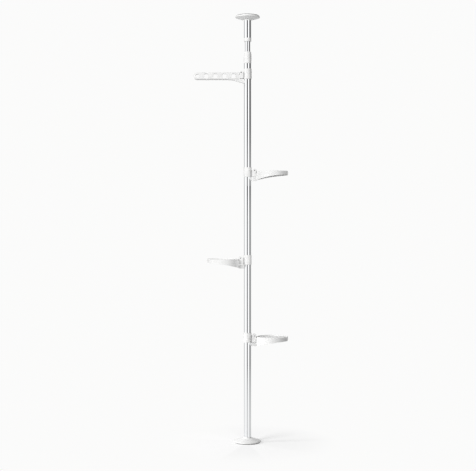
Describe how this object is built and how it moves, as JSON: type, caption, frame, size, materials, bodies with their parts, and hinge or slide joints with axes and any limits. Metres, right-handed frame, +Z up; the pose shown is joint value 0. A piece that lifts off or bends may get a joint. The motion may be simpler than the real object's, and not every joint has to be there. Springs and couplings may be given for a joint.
{
  "type": "tension rod plant stand",
  "caption": "Floor-to-ceiling tension pole with folding round trays and a hanging arm on sliding, turning collars.",
  "frame": {"origin": "centre of the face that stands on the floor, on the pole's axis", "axes": "+Z up along the pole; +X towards the upper and lower trays"},
  "size_m": [0.4935, 0.163, 2.2198],
  "materials": {
    "chrome": "polished",
    "white_plastic": "moulded, low gloss",
    "inner_plastic": "matte",
    "rubber": "matte",
    "coupler_steel": "zinc plated",
    "spring_steel": "drawn wire",
    "pin_steel": "turned"
  },
  "bodies": {
    "pole": {"floor_pad": "rubber", "floor_foot": "white_plastic", "lower_tube": "chrome", "middle_tube": "chrome", "upper_tube": "chrome", "lower_coupler": "coupler_steel", "upper_coupler": "coupler_steel", "lock_collet": "inner_plastic"},
    "nut": {"lock_nut": "white_plastic"},
    "rod": {"extension_rod": "chrome", "rod_guide": "inner_plastic", "spring_seat": "inner_plastic", "head_spring": "spring_steel"},
    "head": {"sleeve_bush": "white_plastic", "spring_sleeve": "chrome", "ceiling_pad": "white_plastic", "ceiling_rubber": "rubber"},
    "arm_slider": {"arm_grip": "white_plastic"},
    "arm_swivel": {"arm_collar": "white_plastic", "arm_knuckle": "white_plastic", "arm_pin": "pin_steel"},
    "arm": {"hanging_arm": "white_plastic"},
    "upper_slider": {"upper_grip": "white_plastic"},
    "upper_swivel": {"upper_collar": "white_plastic", "upper_knuckle": "white_plastic", "upper_pin": "pin_steel"},
    "upper_shelf": {"upper_tray": "white_plastic"},
    "middle_slider": {"middle_grip": "white_plastic"},
    "middle_swivel": {"middle_collar": "white_plastic", "middle_knuckle": "white_plastic", "middle_pin": "pin_steel"},
    "middle_shelf": {"middle_tray": "white_plastic"},
    "lower_slider": {"lower_grip": "white_plastic"},
    "lower_swivel": {"lower_collar": "white_plastic", "lower_knuckle": "white_plastic", "lower_pin": "pin_steel"},
    "lower_shelf": {"lower_tray": "white_plastic"}
  },
  "joints": [
    {"name": "nut_twist", "type": "hinge", "parent": "pole", "child": "nut", "pos_m": [0, 0, 2.003], "axis": [0, 0, 1], "range_deg": [0, 150]},
    {"name": "rod_extend", "type": "slide", "parent": "pole", "child": "rod", "axis": [0, 0, 1], "range_m": [-0.03, 0.45]},
    {"name": "head_press", "type": "slide", "parent": "rod", "child": "head", "axis": [0, 0, 1], "range_m": [-0.02, 0], "stiffness_N_per_m": 4000, "springref_m": 0.01, "deforming": ["head_spring"]},
    {"name": "arm_slide", "type": "slide", "parent": "pole", "child": "arm_slider", "axis": [0, 0, 1], "range_m": [-0.14, 0.02]},
    {"name": "arm_turn", "type": "hinge", "parent": "arm_slider", "child": "arm_swivel", "pos_m": [0, 0, 1.9185], "axis": [0, 0, 1], "continuous": true},
    {"name": "arm_fold", "type": "hinge", "parent": "arm_swivel", "child": "arm", "pos_m": [-0.0335, 0, 1.9255], "axis": [0, 1, 0], "range_deg": [0, 75]},
    {"name": "upper_slide", "type": "slide", "parent": "pole", "child": "upper_slider", "axis": [0, 0, 1], "range_m": [-0.1, 0.1]},
    {"name": "upper_turn", "type": "hinge", "parent": "upper_slider", "child": "upper_swivel", "pos_m": [0, 0, 1.408], "axis": [0, 0, 1], "continuous": true},
    {"name": "upper_fold", "type": "hinge", "parent": "upper_swivel", "child": "upper_shelf", "pos_m": [0.036, 0, 1.4175], "axis": [0, -1, 0], "range_deg": [0, 90]},
    {"name": "middle_slide", "type": "slide", "parent": "pole", "child": "middle_slider", "axis": [0, 0, 1], "range_m": [-0.08, 0.1]},
    {"name": "middle_turn", "type": "hinge", "parent": "middle_slider", "child": "middle_swivel", "pos_m": [0, 0, 0.9515], "axis": [0, 0, 1], "continuous": true},
    {"name": "middle_fold", "type": "hinge", "parent": "middle_swivel", "child": "middle_shelf", "pos_m": [-0.036, 0, 0.961], "axis": [0, 1, 0], "range_deg": [0, 90]},
    {"name": "lower_slide", "type": "slide", "parent": "pole", "child": "lower_slider", "axis": [0, 0, 1], "range_m": [-0.4, 0.08]},
    {"name": "lower_turn", "type": "hinge", "parent": "lower_slider", "child": "lower_swivel", "pos_m": [0, 0, 0.547], "axis": [0, 0, 1], "continuous": true},
    {"name": "lower_fold", "type": "hinge", "parent": "lower_swivel", "child": "lower_shelf", "pos_m": [0.036, 0, 0.5565], "axis": [0, -1, 0], "range_deg": [0, 90]}
  ]
}
